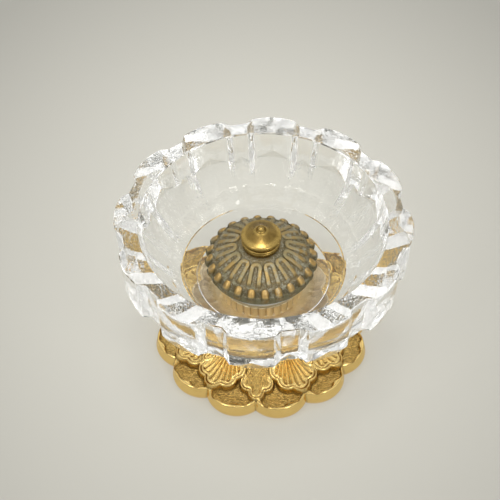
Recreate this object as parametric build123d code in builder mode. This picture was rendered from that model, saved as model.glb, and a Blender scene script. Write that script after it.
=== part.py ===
"""Footed cut-glass desk dish: a lobed glass bowl clamped on a petalled brass foot.

A stud runs up the axis from a nut inside the hollow foot to a turned knob.  Between them it
clamps the foot, a petalled seat, a fluted collar, the glass and a domed rosette.  Millimetres,
+Z up, origin on the axis at the plane the foot stands on.
"""

from build123d import *
from math import cos, radians, sin
import os

# Foot casting
foot_height = 26.0
foot_tip_radius = 49.6
foot_notch_depth = 4.8
foot_petals = 12
foot_turn = -79.5
foot_edge_height = 7.4
foot_lip_width = 2.2
foot_lip_depth = 1.0
foot_wall = 3.2
foot_top_plate = 6.0
foot_bell_sag = 4.0
foot_shoulder_width = 2.6
neck_radius = 15.0
tier_rise = 1.5
tier_setback = 5.4
tier_notch_depth = 3.8

# Petalled seat under the glass
seat_tip_radius = 30.0
seat_notch_depth = 2.4
seat_floor_thickness = 3.2
seat_rim_rise = 2.6
seat_rim_thickness = 2.0
seat_floor_margin = 2.5

# Fluted collar on the seat
collar_radius = 19.0
collar_height = 7.3
collar_flutes = 32
flute_radius = 1.15

# Soft rings either side of the glass
lower_gasket_setback = 1.4
lower_gasket_thickness = 1.5
upper_gasket_setback = 0.9
upper_gasket_thickness = 0.8
gasket_bore_clearance = 2.2

# Glass bowl
glass_height = 40.5
glass_tip_radius = 64.6
glass_notch_depth = 3.7
glass_lobes = 12
glass_turn = -95.5
lobe_half_angle = 8.8
notch_half_angle = 3.6
lobe_corner_drop = 0.9
rim_width = 11.1
glass_floor_radius = 36.8
glass_floor_thickness = 11.5
inner_wall_sag = 1.6
skirt_height = 22.3
skirt_lean = 1.6
glass_base_margin = 11.0
glass_bore_clearance = 2.0
glass_offset = 0.9

# Rosette
rosette_radius = 23.9
rosette_skirt = 5.6
rosette_height = 12.7
rosette_top_radius = 8.6
rosette_dome_sag = 1.0
bump_count = 24
bump_setback = 0.7
bump_radius = 1.75
bump_turn = 93.2

# Knob and the loose ring under it
knob_radius = 9.0
knob_bead_radius = 1.25
knob_bead_height = 3.4
knob_ring_radius = 0.75
knob_neck_radius = 8.1
knob_cone_top_radius = 2.9
knob_cone_top_height = 7.0
knob_height = 8.8
button_radius = 1.5
knob_bore_depth = 6.2
spigot_wall = 2.2
ring_radius = 8.3
ring_thickness = 2.2
ring_round = 0.7

# Stud, nut and washer
stud_radius = 3.0
thread_pitch = 1.0
knob_turns = 6
nut_across_flats = 10.0
nut_height = 5.0
washer_radius = 8.0
washer_thickness = 1.2
stud_tail = 2.0

# Clearances
thread_clearance = 0.06
running_clearance = 0.06
stud_hole_clearance = 0.3
face_clearance = 0.1
bore_end_clearance = 0.5

# Radii that follow from what they fit
foot_notch_radius = foot_tip_radius - foot_notch_depth
shoulder_radius = foot_notch_radius - foot_shoulder_width
tier_tip_radius = foot_tip_radius - tier_setback
tier_notch_radius = tier_tip_radius - tier_notch_depth
seat_notch_radius = seat_tip_radius - seat_notch_depth
lower_gasket_radius = collar_radius - lower_gasket_setback
upper_gasket_radius = rosette_radius - upper_gasket_setback
gasket_bore_radius = stud_radius + gasket_bore_clearance
glass_notch_radius = glass_tip_radius - glass_notch_depth
rim_inner_radius = glass_tip_radius - rim_width
glass_base_radius = collar_radius + glass_base_margin
seat_floor_radius = collar_radius + seat_floor_margin
glass_bore_radius = stud_radius + glass_bore_clearance
bump_ring_radius = rosette_radius - bump_setback
spigot_radius = stud_radius + spigot_wall
stud_hole_radius = stud_radius + stud_hole_clearance

# Heights that follow from the stack
seat_base = foot_height
collar_base = seat_base + seat_floor_thickness
gasket_base = collar_base + collar_height
glass_base = gasket_base + lower_gasket_thickness
glass_floor = glass_base + glass_floor_thickness
glass_rim = glass_base + glass_height
rosette_base = glass_floor + upper_gasket_thickness
rosette_top = rosette_base + rosette_height
ring_base = rosette_top + face_clearance
knob_base = ring_base + ring_thickness + face_clearance
spigot_base = rosette_top + face_clearance
washer_base = foot_height - foot_top_plate - washer_thickness
nut_base = washer_base - nut_height
stud_base = nut_base - stud_tail
stud_top = knob_base + knob_bore_depth - bore_end_clearance


def polar(radius, angle):
    """Point at a radius and an angle in degrees."""
    return (radius * cos(radians(angle)), radius * sin(radians(angle)))


def petal_outline(tip, notch, count, turn):
    """Closed ring of arcs, each from notch to notch over a petal's tip."""
    step = 360 / count
    for index in range(count):
        middle = turn + index * step
        ThreePointArc(
            polar(notch, middle - step / 2),
            polar(tip, middle),
            polar(notch, middle + step / 2),
        )


def lobe_outline():
    """Closed outline of the glass: convex lobes with a flat-bottomed notch between each two."""
    step = 360 / glass_lobes
    corner = glass_tip_radius - lobe_corner_drop
    for index in range(glass_lobes):
        middle = glass_turn + index * step
        lobe_end = polar(corner, middle + lobe_half_angle)
        notch_start = polar(glass_notch_radius, middle + step / 2 - notch_half_angle)
        notch_end = polar(glass_notch_radius, middle + step / 2 + notch_half_angle)
        next_lobe = polar(corner, middle + step - lobe_half_angle)
        ThreePointArc(
            polar(corner, middle - lobe_half_angle),
            polar(glass_tip_radius, middle),
            lobe_end,
        )
        Line(lobe_end, notch_start)
        Line(notch_start, notch_end)
        Line(notch_end, next_lobe)


def bell_section(outer, shoulder, edge, neck, top, sag):
    """Half section of a solid bell: a level edge, then a hollow curve up to the neck."""
    Line((0, 0), (outer, 0))
    Line((outer, 0), (outer, edge))
    Line((outer, edge), (shoulder, edge))
    SagittaArc((shoulder, edge), (neck, top), sag)
    Line((neck, top), (0, top))
    Line((0, top), (0, 0))


# Upper tier of petals, shaped on its own so that its outline trims only itself.
with BuildPart() as upper_tier:
    with BuildSketch(Plane.XZ):
        with BuildLine():
            bell_section(
                foot_tip_radius,
                shoulder_radius,
                foot_edge_height + tier_rise,
                neck_radius,
                foot_height,
                foot_bell_sag - tier_rise,
            )
        make_face()
    revolve(axis=Axis.Z)
    with BuildSketch(Plane.XY):
        with BuildLine():
            petal_outline(tier_tip_radius, tier_notch_radius, foot_petals, foot_turn + 180 / foot_petals)
        make_face()
    extrude(amount=foot_height, mode=Mode.INTERSECT)

with BuildPart() as foot_casting:
    with BuildSketch(Plane.XZ):
        with BuildLine():
            bell_section(
                foot_tip_radius + foot_lip_width,
                shoulder_radius,
                foot_edge_height,
                neck_radius,
                foot_height,
                foot_bell_sag,
            )
        make_face()
    revolve(axis=Axis.Z)
    with BuildSketch(Plane.XY):
        with BuildLine():
            petal_outline(foot_tip_radius, foot_notch_radius, foot_petals, foot_turn)
        make_face()
    extrude(amount=foot_height, mode=Mode.INTERSECT)
    # Recessed field inside the lip of the outer petals
    with BuildSketch(Plane.XY.offset(foot_edge_height - foot_lip_depth)):
        with BuildLine():
            petal_outline(
                foot_tip_radius - foot_lip_width,
                foot_notch_radius - foot_lip_width,
                foot_petals,
                foot_turn,
            )
        make_face()
        Circle(tier_notch_radius - foot_lip_width, mode=Mode.SUBTRACT)
    extrude(amount=foot_lip_depth + tier_rise, mode=Mode.SUBTRACT)
    add(upper_tier.part)
    # Hollow underside, one wall thinner than the outside
    with BuildSketch(Plane.XZ):
        with BuildLine():
            bell_section(
                foot_notch_radius - foot_wall,
                shoulder_radius - foot_wall,
                foot_edge_height - foot_lip_depth - foot_wall,
                neck_radius - foot_wall,
                foot_height - foot_top_plate,
                foot_bell_sag,
            )
        make_face()
    revolve(axis=Axis.Z, mode=Mode.SUBTRACT)
    with BuildSketch(Plane.XY):
        Circle(stud_hole_radius)
    extrude(amount=foot_height, mode=Mode.SUBTRACT)

with BuildPart() as bowl_seat:
    with BuildSketch(Plane.XZ):
        with BuildLine():
            Polyline(
                (stud_hole_radius, seat_base),
                (neck_radius, seat_base),
                (seat_tip_radius, collar_base + seat_rim_rise - seat_rim_thickness),
                (seat_tip_radius, collar_base + seat_rim_rise),
                (seat_floor_radius, collar_base),
                (stud_hole_radius, collar_base),
                close=True,
            )
        make_face()
    revolve(axis=Axis.Z)
    with BuildSketch(Plane.XY.offset(seat_base)):
        with BuildLine():
            petal_outline(seat_tip_radius, seat_notch_radius, foot_petals, foot_turn)
        make_face()
    extrude(amount=seat_floor_thickness + seat_rim_rise, mode=Mode.INTERSECT)

with BuildPart() as fluted_collar:
    with BuildSketch(Plane.XY.offset(collar_base)):
        Circle(collar_radius)
        with PolarLocations(collar_radius, collar_flutes):
            Circle(flute_radius, mode=Mode.SUBTRACT)
        Circle(stud_hole_radius, mode=Mode.SUBTRACT)
    extrude(amount=collar_height)

with BuildPart() as lower_gasket:
    with BuildSketch(Plane.XY.offset(gasket_base)):
        Circle(lower_gasket_radius)
        Circle(gasket_bore_radius, mode=Mode.SUBTRACT)
    extrude(amount=lower_gasket_thickness)

with BuildPart() as centred_glass:
    with BuildSketch(Plane.XZ):
        with BuildLine():
            Polyline(
                (glass_floor_radius, glass_floor),
                (glass_bore_radius, glass_floor),
                (glass_bore_radius, glass_base),
                (glass_base_radius, glass_base),
                (glass_tip_radius - skirt_lean, glass_rim - skirt_height),
                (glass_tip_radius, glass_rim),
                (rim_inner_radius, glass_rim),
            )
            SagittaArc((rim_inner_radius, glass_rim), (glass_floor_radius, glass_floor), inner_wall_sag)
        make_face()
    revolve(axis=Axis.Z)
    with BuildSketch(Plane.XY.offset(glass_base)):
        with BuildLine():
            lobe_outline()
        make_face()
    extrude(amount=glass_height, mode=Mode.INTERSECT)

# The glass stands off the axis, inside the clearance of its bore
with BuildPart() as glass_bowl:
    add(centred_glass.part.moved(Location((glass_offset, 0, 0))))

with BuildPart() as upper_gasket:
    with BuildSketch(Plane.XY.offset(glass_floor)):
        Circle(upper_gasket_radius)
        Circle(gasket_bore_radius, mode=Mode.SUBTRACT)
    extrude(amount=upper_gasket_thickness)

with BuildPart() as rosette:
    with BuildSketch(Plane.XZ):
        with BuildLine():
            Polyline(
                (rosette_top_radius, rosette_top),
                (stud_hole_radius, rosette_top),
                (stud_hole_radius, rosette_base),
                (rosette_radius, rosette_base),
                (rosette_radius, rosette_base + rosette_skirt),
            )
            SagittaArc(
                (rosette_radius, rosette_base + rosette_skirt),
                (rosette_top_radius, rosette_top),
                rosette_dome_sag,
            )
        make_face()
    revolve(axis=Axis.Z)
    # Rounded bumps that scallop the edge
    with BuildSketch(Plane.XY.offset(rosette_base)):
        with PolarLocations(bump_ring_radius, bump_count, start_angle=bump_turn):
            Circle(bump_radius)
    extrude(amount=rosette_skirt)
    with Locations((0, 0, rosette_base + rosette_skirt)):
        with PolarLocations(bump_ring_radius, bump_count, start_angle=bump_turn):
            Sphere(bump_radius)

with BuildPart() as knob_ring:
    with BuildSketch(Plane.XY.offset(ring_base)):
        Circle(ring_radius)
        Circle(spigot_radius + running_clearance, mode=Mode.SUBTRACT)
    extrude(amount=ring_thickness)
    outer_edges = knob_ring.edges().filter_by(GeomType.CIRCLE).sort_by(SortBy.RADIUS)[-2:]
    fillet(outer_edges, radius=ring_round)

with BuildPart() as knob:
    with BuildSketch(Plane.XZ):
        bead_centre = (knob_radius - knob_bead_radius, knob_base + knob_bead_height)
        lower_ring_centre = (knob_neck_radius, knob_base + knob_ring_radius)
        with BuildLine():
            Polyline(
                (0, spigot_base),
                (spigot_radius, spigot_base),
                (spigot_radius, knob_base),
                (knob_neck_radius, knob_base),
                (knob_neck_radius - knob_ring_radius, knob_base + knob_bead_height),
                bead_centre,
                (bead_centre[0], bead_centre[1] + knob_bead_radius),
                (knob_cone_top_radius, knob_base + knob_cone_top_height),
                (0, knob_base + knob_cone_top_height),
                close=True,
            )
        make_face()
        with Locations(bead_centre):
            Circle(knob_bead_radius)
        with Locations(lower_ring_centre):
            Circle(knob_ring_radius)
        with Locations((0, knob_base + knob_height - button_radius)):
            Circle(button_radius)
        with Locations((0, knob_base)):
            Rectangle(knob_radius, 2 * knob_height, align=(Align.MAX, Align.CENTER), mode=Mode.SUBTRACT)
    revolve(axis=Axis.Z)
    with BuildSketch(Plane.XY.offset(spigot_base)):
        Circle(stud_radius + thread_clearance)
    extrude(amount=knob_base + knob_bore_depth - spigot_base, mode=Mode.SUBTRACT)

with BuildPart() as stud:
    with BuildSketch(Plane.XY.offset(stud_base)):
        Circle(stud_radius)
    extrude(amount=stud_top - stud_base)

with BuildPart() as foot_washer:
    with BuildSketch(Plane.XY.offset(washer_base)):
        Circle(washer_radius)
        Circle(stud_hole_radius, mode=Mode.SUBTRACT)
    extrude(amount=washer_thickness)

with BuildPart() as hex_nut:
    with BuildSketch(Plane.XY.offset(nut_base)):
        RegularPolygon(radius=nut_across_flats / 2, side_count=6, major_radius=False)
        Circle(stud_radius + thread_clearance, mode=Mode.SUBTRACT)
    extrude(amount=nut_height)

pieces = {
    "foot_casting": foot_casting,
    "bowl_seat": bowl_seat,
    "fluted_collar": fluted_collar,
    "lower_gasket": lower_gasket,
    "glass_bowl": glass_bowl,
    "upper_gasket": upper_gasket,
    "rosette": rosette,
    "knob_ring": knob_ring,
    "knob": knob,
    "stud": stud,
    "foot_washer": foot_washer,
    "hex_nut": hex_nut,
}

os.makedirs("parts", exist_ok=True)
for name, piece in pieces.items():
    piece.part.label = name
    export_step(piece.part, f"parts/{name}.step")

print(f"knob travel {knob_turns * thread_pitch} mm over {knob_turns} turns, rim at {glass_rim} mm")
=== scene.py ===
import logging
import math
from dataclasses import dataclass
from enum import Enum
from typing import Callable, Dict, List, Sequence, Tuple

import bpy
import numpy as np
from mathutils import Matrix, Vector


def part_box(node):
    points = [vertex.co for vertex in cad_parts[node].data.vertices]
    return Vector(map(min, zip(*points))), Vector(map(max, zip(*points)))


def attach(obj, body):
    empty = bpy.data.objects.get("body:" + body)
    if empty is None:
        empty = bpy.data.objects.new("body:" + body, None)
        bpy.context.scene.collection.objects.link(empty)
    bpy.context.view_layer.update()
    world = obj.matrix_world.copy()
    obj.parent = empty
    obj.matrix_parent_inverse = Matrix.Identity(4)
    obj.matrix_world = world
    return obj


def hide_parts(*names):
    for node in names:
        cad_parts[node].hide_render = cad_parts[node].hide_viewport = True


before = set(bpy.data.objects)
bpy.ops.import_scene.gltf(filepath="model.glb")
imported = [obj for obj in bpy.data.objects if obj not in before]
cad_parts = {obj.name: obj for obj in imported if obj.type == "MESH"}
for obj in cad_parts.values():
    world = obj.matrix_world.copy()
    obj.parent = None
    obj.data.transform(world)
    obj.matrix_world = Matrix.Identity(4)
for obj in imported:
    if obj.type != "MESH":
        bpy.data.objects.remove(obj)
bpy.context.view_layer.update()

MM = 0.001
AXIS = (0.0, 0.0, 0.0)
WALL_CUT = 0.4
# Masks of the cast pieces: the matt field, and painted shade mixed with grime in creases, grooves and under
# edges.
CAST_MASKS = ("matt", "shade_and_grime")
DISH_MIDDLE = Vector((0.0, 0.0, 0.05))
GLASS_BOUNCES = 32

Point = Tuple[float, float]
Colour = Tuple[float, float, float]
Values = np.ndarray
Carved = Tuple[Values, ...]
Relief = Callable[[Values, Values, Values], Carved]
Piece = bpy.types.Object
Material = bpy.types.Material
Socket = bpy.types.NodeSocket
Tree = bpy.types.NodeTree

log = logging.getLogger("dish")


# ---------------------------------------------------------------- shared shaping


def smooth(value: Values) -> Values:
    """Soft step from 0 to 1 as value goes from 0 to 1."""
    held = np.clip(value, 0.0, 1.0)
    return held * held * (3.0 - 2.0 * held)


def hump(distance: Values, width: float) -> Values:
    """Rounded ridge, 1 at distance 0 and gone at about twice the width."""
    return np.exp(-((distance / width) ** 2))


def turned_to(angle: Values, middle: float) -> Values:
    """Angle measured from a middle direction, from -pi to pi."""
    return (angle - middle + math.pi) % (2.0 * math.pi) - math.pi


def within(angle: Values, turn_degrees: float, count: int) -> Values:
    """Angle from the middle of the nearest of so many even sectors.

    Args:
        angle: Angle of each point, in radians.
        turn_degrees: The direction of one sector's middle.
        count: How many sectors go round.

    Returns:
        The angle from that middle, in radians.
    """
    half = math.pi / count
    return (angle - math.radians(turn_degrees) + half) % (2.0 * half) - half


def sagged(start: Point, end: Point, sag: float, count: int) -> List[Point]:
    """Points along a shallow arc.

    Args:
        start: First point, radius and height in millimetres.
        end: Last point.
        sag: How far the arc's middle stands to the left of the straight line.
        count: How many steps the arc has.

    Returns:
        The points, both ends among them.
    """
    run = Vector((end[0] - start[0], end[1] - start[1]))
    left = Vector((-run.y, run.x)).normalized()
    points = []
    for step in range(count + 1):
        share = step / count
        spot = Vector(start) + run * share + left * (sag * 4.0 * share * (1.0 - share))
        points.append((spot.x, spot.y))
    return points


def rounded(centre: Point, radius: float, first: float, last: float, count: int) -> List[Point]:
    """Points round an arc in a section, angles in degrees from the radius direction."""
    points = []
    for step in range(count + 1):
        angle = math.radians(first + (last - first) * step / count)
        points.append((centre[0] + radius * math.cos(angle), centre[1] + radius * math.sin(angle)))
    return points


@dataclass(frozen=True)
class Plan:
    """A piece's name, the CAD node it stands for, and how finely it is made.

    The columns are the steps round the axis, the crease is the sharpest edge in degrees that still
    shades as smooth, and the masks are the point attributes that the carver leaves for the finish.
    """

    name: str
    node: str
    slot: str
    body: str
    columns: int
    crease: float
    masks: Tuple[str, ...]


class Bench:
    """The moves that every piece is made with."""

    @staticmethod
    def clear() -> None:
        """Leaves edit mode and selects nothing."""
        if bpy.context.object is not None and bpy.context.object.mode != "OBJECT":
            bpy.ops.object.mode_set(mode="OBJECT")
        bpy.ops.object.select_all(action="DESELECT")

    @staticmethod
    def take(piece: Piece) -> None:
        """Makes one piece the only selected and active one."""
        Bench.clear()
        piece.select_set(True)
        bpy.context.view_layer.objects.active = piece

    @staticmethod
    def turn(name: str, section: Sequence[Point], steps: int) -> Piece:
        """Turns a closed solid of revolution, as on a lathe.

        Args:
            name: The piece's name.
            section: Radius and height of each point of the closed half section, in millimetres.
            steps: How many steps go round.

        Returns:
            The turned piece, at the origin, with its place in its mesh.
        """
        Bench.clear()
        bpy.ops.mesh.primitive_circle_add(vertices=3, radius=MM, location=AXIS)
        piece = bpy.context.object
        piece.name = name
        bpy.ops.object.mode_set(mode="EDIT")
        bpy.ops.mesh.select_all(action="SELECT")
        bpy.ops.mesh.merge(type="CENTER")
        bpy.ops.transform.translate(value=(section[0][0] * MM, 0.0, section[0][1] * MM))
        here = section[0]
        open_section = section[0][0] < MM and section[-1][0] < MM
        for spot in list(section[1:]) + ([] if open_section else [section[0]]):
            step = ((spot[0] - here[0]) * MM, 0.0, (spot[1] - here[1]) * MM)
            bpy.ops.mesh.extrude_region_move(TRANSFORM_OT_translate={"value": step})
            here = spot
        bpy.ops.mesh.select_all(action="SELECT")
        bpy.ops.mesh.spin(steps=steps, angle=2.0 * math.pi, center=AXIS, axis=(0.0, 0.0, 1.0))
        bpy.ops.mesh.select_all(action="SELECT")
        bpy.ops.mesh.remove_doubles(threshold=2e-6)
        bpy.ops.mesh.normals_make_consistent(inside=False)
        bpy.ops.object.mode_set(mode="OBJECT")
        return piece

    @staticmethod
    def carve(piece: Piece, relief: Relief, masks: Sequence[str]) -> None:
        """Moves the points of a turned blank, as a carver works a wax before casting.

        Args:
            piece: The blank.
            relief: Takes radius, angle and height of the points, in millimetres and radians, and
                gives their new radius, angle and height, then one value for each mask.
            masks: Names of the point attributes that keep the further values.
        """
        count = len(piece.data.vertices)
        flat = np.zeros(count * 3)
        piece.data.vertices.foreach_get("co", flat)
        points = flat.reshape(-1, 3)
        radius = np.hypot(points[:, 0], points[:, 1]) / MM
        angle = np.arctan2(points[:, 1], points[:, 0])
        result = relief(radius, angle, points[:, 2] / MM)
        points[:, 0] = result[0] * MM * np.cos(result[1])
        points[:, 1] = result[0] * MM * np.sin(result[1])
        points[:, 2] = result[2] * MM
        piece.data.vertices.foreach_set("co", points.ravel())
        for name, values in zip(masks, result[3:]):
            layer = piece.data.attributes.new(name, "FLOAT", "POINT")
            layer.data.foreach_set("value", np.clip(values, 0.0, 1.0).astype(np.float32))
        piece.data.update()

    @staticmethod
    def shade(piece: Piece, degrees: float) -> None:
        """Smooths the shading across edges flatter than an angle."""
        Bench.take(piece)
        bpy.ops.object.shade_smooth_by_angle(angle=math.radians(degrees))

    @staticmethod
    def shift(piece: Piece, along_x: float) -> None:
        """Moves a piece's mesh along X, in metres."""
        Bench.take(piece)
        bpy.ops.object.mode_set(mode="EDIT")
        bpy.ops.mesh.select_all(action="SELECT")
        bpy.ops.transform.translate(value=(along_x, 0.0, 0.0))
        bpy.ops.object.mode_set(mode="OBJECT")

    @staticmethod
    def seat(piece: Piece, plan: Plan, finish: Material) -> Piece:
        """Shades and dresses a finished piece and hands it to its body.

        Args:
            piece: The finished piece.
            plan: Where it belongs.
            finish: Its material.

        Returns:
            The piece.
        """
        Bench.shade(piece, plan.crease)
        piece.data.materials.clear()
        piece.data.materials.append(finish)
        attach(piece, plan.body)
        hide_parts(plan.node)
        log.info("%s: %d faces on %s", piece.name, len(piece.data.polygons), plan.body)
        return piece

    @staticmethod
    def make(plan: Plan, section: Sequence[Point], relief: Relief, finish: Material) -> Piece:
        """Turns, carves and seats one piece.

        Args:
            plan: Its name, its place in the model and how finely it is made.
            section: The closed half section of its blank, in millimetres.
            relief: The carving.
            finish: Its material.

        Returns:
            The piece.
        """
        piece = Bench.turn(plan.name, section, plan.columns)
        Bench.carve(piece, relief, plan.masks)
        return Bench.seat(piece, plan, finish)


@dataclass
class Turning:
    """A turned piece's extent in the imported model: its heights and its radius, in millimetres."""

    base: float = 0.0
    top: float = 0.0
    reach: float = 0.0

    def measure(self, node: str) -> None:
        """Reads a CAD node's lowest and highest point and its largest radius about the axis."""
        low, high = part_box(node)
        self.base = low.z / MM
        self.top = high.z / MM
        self.reach = max(math.hypot(v.co.x, v.co.y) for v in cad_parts[node].data.vertices) / MM


# ---------------------------------------------------------------- finishes


class Shader:
    """A material's node tree, with short ways to add the nodes the finishes need."""

    def __init__(self, name: str) -> None:
        """Starts an empty material with its output and its surface shader."""
        self.material = bpy.data.materials.new(name)
        self.material.use_nodes = True
        self.nodes = self.material.node_tree.nodes
        self.links = self.material.node_tree.links
        self.nodes.clear()
        self.output = self.nodes.new("ShaderNodeOutputMaterial")
        self.surface = self.nodes.new("ShaderNodeBsdfPrincipled")
        self.links.new(self.surface.outputs["BSDF"], self.output.inputs["Surface"])
        self.place = self.nodes.new("ShaderNodeTexCoord")

    def set(self, **sockets: object) -> None:
        """Sets plain values on the surface shader, with _ for each space in a socket's name."""
        for name, value in sockets.items():
            self.surface.inputs[name.replace("_", " ")].default_value = value

    def noise(self, size: float, detail: float = 3.0, roughness: float = 0.55) -> Socket:
        """Noise in object space.

        Args:
            size: Size of its patches, in millimetres.
            detail: How many finer layers it has.
            roughness: How strong the finer layers are.

        Returns:
            The noise value.
        """
        node = self.nodes.new("ShaderNodeTexNoise")
        node.inputs["Scale"].default_value = 1.0 / (size * MM)
        node.inputs["Detail"].default_value = detail
        node.inputs["Roughness"].default_value = roughness
        self.links.new(self.place.outputs["Object"], node.inputs["Vector"])
        return node.outputs["Fac"]

    def mask(self, name: str) -> Socket:
        """A value kept on the mesh by the carver."""
        node = self.nodes.new("ShaderNodeAttribute")
        node.attribute_name = name
        return node.outputs["Fac"]

    def spread(
        self, value: Socket, low: float, high: float, to_low: float = 0.0, to_high: float = 1.0
    ) -> Socket:
        """Stretches a value from one range to another and holds it inside."""
        node = self.nodes.new("ShaderNodeMapRange")
        node.inputs["From Min"].default_value = low
        node.inputs["From Max"].default_value = high
        node.inputs["To Min"].default_value = to_low
        node.inputs["To Max"].default_value = to_high
        self.links.new(value, node.inputs["Value"])
        return node.outputs["Result"]

    def times(self, first: Socket, second: object) -> Socket:
        """Product of two values."""
        return self.join("MULTIPLY", first, second)

    def join(self, kind: str, first: Socket, second: object) -> Socket:
        """Arithmetic of two values, the second a socket or a number."""
        node = self.nodes.new("ShaderNodeMath")
        node.operation = kind
        node.use_clamp = True
        self.links.new(first, node.inputs[0])
        if isinstance(second, (int, float)):
            node.inputs[1].default_value = second
        else:
            self.links.new(second, node.inputs[1])
        return node.outputs["Value"]

    def blend(self, share: Socket, first: object, second: object) -> Socket:
        """Colour between two colours or sockets."""
        node = self.nodes.new("ShaderNodeMix")
        node.data_type = "RGBA"
        self.links.new(share, node.inputs["Factor"])
        for socket, colour in ((node.inputs[6], first), (node.inputs[7], second)):
            if isinstance(colour, tuple):
                socket.default_value = (*colour, 1.0)
            else:
                self.links.new(colour, socket)
        return node.outputs[2]

    def feed(self, socket: str, value: Socket) -> None:
        """Links a value or colour to the surface shader."""
        self.links.new(value, self.surface.inputs[socket])

    def bump(self, height: Socket, depth: float, strength: float = 1.0) -> None:
        """Adds a bump of a depth in millimetres on top of any bump the shader has."""
        node = self.nodes.new("ShaderNodeBump")
        node.inputs["Distance"].default_value = depth * MM
        node.inputs["Strength"].default_value = strength
        self.links.new(height, node.inputs["Height"])
        normal = self.surface.inputs["Normal"]
        if normal.is_linked:
            self.links.new(normal.links[0].from_socket, node.inputs["Normal"])
        self.links.new(node.outputs["Normal"], normal)

    def group(self, tree: Tree, **values: object) -> bpy.types.Node:
        """Places a shared effect with its own values."""
        node = self.nodes.new("ShaderNodeGroup")
        node.node_tree = tree
        for name, value in values.items():
            socket = node.inputs[name.replace("_", " ")]
            if isinstance(value, Socket):
                self.links.new(value, socket)
            else:
                socket.default_value = value
        return node


def handling_group() -> Tree:
    """Shared effect: the uneven shine that handling and old polish leave on metal.

    Returns:
        A group that takes a noise scale and the least and most roughness, and gives a roughness
        and a tarnish mask.
    """
    tree = bpy.data.node_groups.new("handling", "ShaderNodeTree")
    for way, names in (("INPUT", ("Size", "Least", "Most")), ("OUTPUT", ("Roughness", "Tarnish"))):
        for name in names:
            tree.interface.new_socket(name, in_out=way, socket_type="NodeSocketFloat")
    entry = tree.nodes.new("NodeGroupInput")
    leave = tree.nodes.new("NodeGroupOutput")
    place = tree.nodes.new("ShaderNodeTexCoord")
    cloud = tree.nodes.new("ShaderNodeTexNoise")
    cloud.inputs["Detail"].default_value = 5.0
    cloud.inputs["Roughness"].default_value = 0.65
    tree.links.new(place.outputs["Object"], cloud.inputs["Vector"])
    tree.links.new(entry.outputs["Size"], cloud.inputs["Scale"])
    for name, low, high in (("Roughness", 0.3, 0.7), ("Tarnish", 0.52, 0.72)):
        spread = tree.nodes.new("ShaderNodeMapRange")
        spread.inputs["From Min"].default_value = low
        spread.inputs["From Max"].default_value = high
        tree.links.new(cloud.outputs["Fac"], spread.inputs["Value"])
        tree.links.new(spread.outputs["Result"], leave.inputs[name])
        if name == "Roughness":
            tree.links.new(entry.outputs["Least"], spread.inputs["To Min"])
            tree.links.new(entry.outputs["Most"], spread.inputs["To Max"])
    return tree


@dataclass(frozen=True)
class GiltFinish:
    """Fire-gilt brass: bright where it is burnished, stippled and brown where it is matt, with painted shade,
    mixed with grime, in its creases and under its edges.
    """

    name: str
    bright: Colour
    matt: Colour
    # Dark colour of the specks in the matt fields and of the painted shade in creases and under edges.
    shade_and_grime: Colour
    least_rough: float
    most_rough: float
    matt_rough: float
    stipple: float
    cloud_scale: float = 160.0
    mottle_size: float = 2.6
    grain_size: float = 0.75
    speck_size: float = 1.15
    speck_share: float = 0.48
    stain_share: float = 0.25

    def make(self, handling: Tree) -> Material:
        """Builds the material, which reads the mask matt and a mask of painted shade, mixed with grime, in
        creases, grooves and under edges.

        Args:
            handling: The shared handling effect.

        Returns:
            The material.
        """
        shader = Shader(self.name)
        shader.set(Metallic=1.0)
        worn = shader.group(handling, Size=self.cloud_scale, Least=self.least_rough, Most=self.most_rough)
        matt = shader.mask("matt")
        shade_and_grime = shader.mask("shade_and_grime")
        mottle = shader.noise(self.mottle_size, 4.0, 0.62)
        fine = shader.noise(self.grain_size, 2.5, 0.6)
        patchy = shader.times(matt, shader.spread(mottle, 0.3, 0.66, 0.5, 1.0))
        colour = shader.blend(patchy, self.bright, self.matt)
        speck = shader.noise(self.speck_size, 3.0, 0.7)
        sunk = shader.times(matt, shader.spread(speck, 0.42, 0.64, 0.0, self.speck_share))
        colour = shader.blend(sunk, colour, self.shade_and_grime)
        tint = shader.times(worn.outputs["Tarnish"], self.stain_share)
        colour = shader.blend(tint, colour, self.matt)
        # Painted shade in creases, grooves and under edges, broken up by a fine grime noise.
        shaded_and_grimy = shader.times(shade_and_grime, shader.spread(fine, 0.25, 0.6, 0.45, 1.0))
        colour = shader.blend(shaded_and_grimy, colour, self.shade_and_grime)
        shader.feed("Base Color", colour)
        rough = shader.nodes.new("ShaderNodeMix")
        shader.links.new(matt, rough.inputs["Factor"])
        shader.links.new(worn.outputs["Roughness"], rough.inputs[2])
        rough.inputs[3].default_value = self.matt_rough
        shader.feed("Roughness", rough.outputs[0])
        held = shader.spread(matt, 0.0, 1.0, 0.04, 1.0)
        grain = shader.times(shader.spread(fine, 0.3, 0.7), held)
        shader.bump(grain, self.stipple)
        return shader.material


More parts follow.
